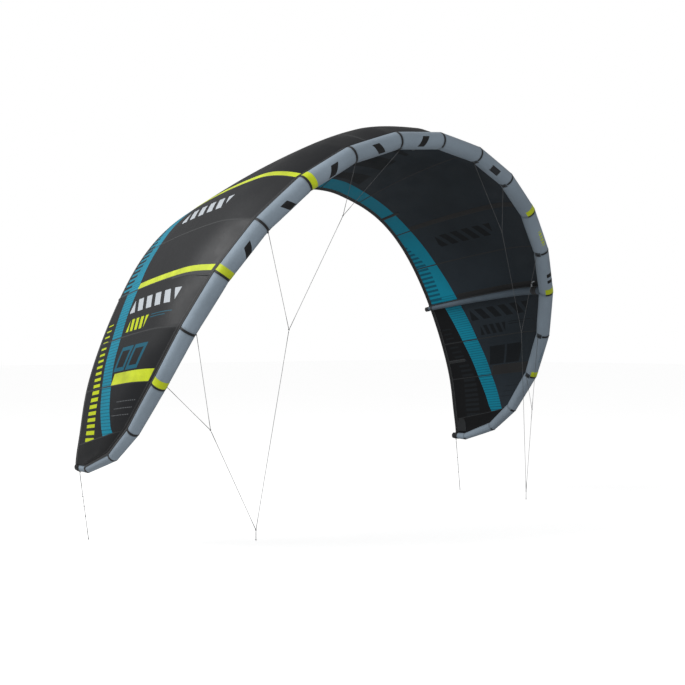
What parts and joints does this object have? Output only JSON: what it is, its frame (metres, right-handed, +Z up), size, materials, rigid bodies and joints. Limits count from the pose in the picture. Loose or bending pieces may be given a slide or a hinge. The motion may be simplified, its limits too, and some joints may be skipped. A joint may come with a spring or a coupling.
{
  "type": "kitesurf kite",
  "caption": "Inflatable kitesurf kite: arched canopy on a segmented air tube, two struts, bridle lines, line pigtails and an inflation valve.",
  "frame": {"origin": "in the symmetry plane, on top of the middle of the leading-edge tube, at the mount arc_top_point", "axes": "+X along the span, -Y towards the leading edge (the flying direction), +Y towards the trailing edge, +Z up, out of the top of the arc"},
  "size_m": [4.163, 1.8095, 3.0719],
  "materials": {
    "casing": "matt",
    "bladder": "satin",
    "black_cloth": "matt",
    "bright_cloth": "matt",
    "ripstop": "satin",
    "cord": "satin",
    "dark_cord": "matt",
    "hard_plastic": "satin",
    "grey_plastic": "satin",
    "dark_plastic": "gloss",
    "hose": "satin",
    "batten": "satin"
  },
  "bodies": {
    "wing": {"le_casing": "casing", "le_bladder": "bladder", "le_seam_tapes": "black_cloth", "le_accent_bands": "bright_cloth", "tip_cap_left": "black_cloth", "tip_cap_right": "black_cloth", "le_label": "black_cloth", "canopy": "ripstop", "le_hem": "black_cloth", "te_hem": "black_cloth", "chord_bands": "bright_cloth", "batten_pockets": "black_cloth", "battens": "batten", "tip_patches": "black_cloth", "strut_casing_left": "casing", "strut_casing_right": "casing", "strut_bladder_left": "bladder", "strut_bladder_right": "bladder", "strut_end_cap_left": "black_cloth", "strut_end_cap_right": "black_cloth", "strut_collars": "black_cloth", "hose_left": "hose", "hose_right": "hose", "clip_body_left": "hard_plastic", "clip_body_right": "hard_plastic", "valve_patch": "black_cloth", "valve_base": "hard_plastic", "leash_anchor": "black_cloth", "bridle_tabs_left": "black_cloth", "bridle_tabs_right": "black_cloth", "bridle_upper_left": "cord", "bridle_upper_right": "cord", "bridle_knots_left": "cord", "bridle_knots_right": "cord", "rear_tab_left": "black_cloth", "rear_tab_right": "black_cloth"},
    "bridle_left": {"bridle_lower_left": "cord"},
    "bridle_right": {"bridle_lower_right": "cord"},
    "front_tail_left": {"front_pigtail_left": "dark_cord"},
    "front_tail_right": {"front_pigtail_right": "dark_cord"},
    "rear_tail_left": {"rear_pigtail_left": "dark_cord"},
    "rear_tail_right": {"rear_pigtail_right": "dark_cord"},
    "valve_turn": {"valve_insert": "grey_plastic"},
    "valve_lid": {"valve_cap": "hard_plastic"},
    "clip_left": {"clip_lever_left": "dark_plastic"},
    "clip_right": {"clip_lever_right": "dark_plastic"},
    "leash": {"leash_loop": "black_cloth"}
  },
  "joints": [
    {"name": "bridle_swing_left", "type": "hinge", "parent": "wing", "child": "bridle_left", "pos_m": [-1.242, 0.23, -1.473], "axis": [-0.5424, 0.3003, -0.7846], "range_deg": [-25, 25]},
    {"name": "bridle_swing_right", "type": "hinge", "parent": "wing", "child": "bridle_right", "pos_m": [1.242, 0.23, -1.473], "axis": [-0.5424, -0.3003, 0.7846], "range_deg": [-25, 25]},
    {"name": "front_tail_swing_left", "type": "hinge", "parent": "bridle_left", "child": "front_tail_left", "pos_m": [-1.44, 0.33962, -2.828], "axis": [-1, 0, 0], "range_deg": [-75, 75]},
    {"name": "front_tail_swing_right", "type": "hinge", "parent": "bridle_right", "child": "front_tail_right", "pos_m": [1.44, 0.33962, -2.828], "axis": [-1, 0, 0], "range_deg": [-75, 75]},
    {"name": "rear_tail_swing_left", "type": "hinge", "parent": "wing", "child": "rear_tail_left", "pos_m": [-2.03543, 1.68569, -2.52067], "axis": [-1, 0, 0], "range_deg": [-60, 75], "stiffness_Nm_per_rad": 0.05},
    {"name": "rear_tail_swing_right", "type": "hinge", "parent": "wing", "child": "rear_tail_right", "pos_m": [2.03543, 1.68569, -2.52067], "axis": [-1, 0, 0], "range_deg": [-60, 75], "stiffness_Nm_per_rad": 0.05},
    {"name": "valve_insert_turn", "type": "hinge", "parent": "wing", "child": "valve_turn", "pos_m": [-0.20797, 0.0632, -0.11976], "axis": [0.0841, 0.8683, -0.4889], "range_deg": [-60, 0]},
    {"name": "valve_lid_open", "type": "hinge", "parent": "valve_turn", "child": "valve_lid", "pos_m": [-0.2046, 0.0693, -0.14721], "axis": [-0.9929, 0.0314, -0.115], "range_deg": [0, 150]},
    {"name": "clip_lever_left", "type": "hinge", "parent": "wing", "child": "clip_left", "pos_m": [-1.67458, 0.48012, -1.03126], "axis": [0.4462, -0.6971, 0.5612], "range_deg": [0, 70]},
    {"name": "clip_lever_right", "type": "hinge", "parent": "wing", "child": "clip_right", "pos_m": [1.67458, 0.48012, -1.03126], "axis": [0.4462, 0.6971, -0.5612], "range_deg": [0, 70]},
    {"name": "leash_flap", "type": "hinge", "parent": "wing", "child": "leash", "pos_m": [-0.3402, 0.07296, -0.13825], "axis": [0.9868, -0.0786, 0.1413], "range_deg": [-70, 70]}
  ]
}
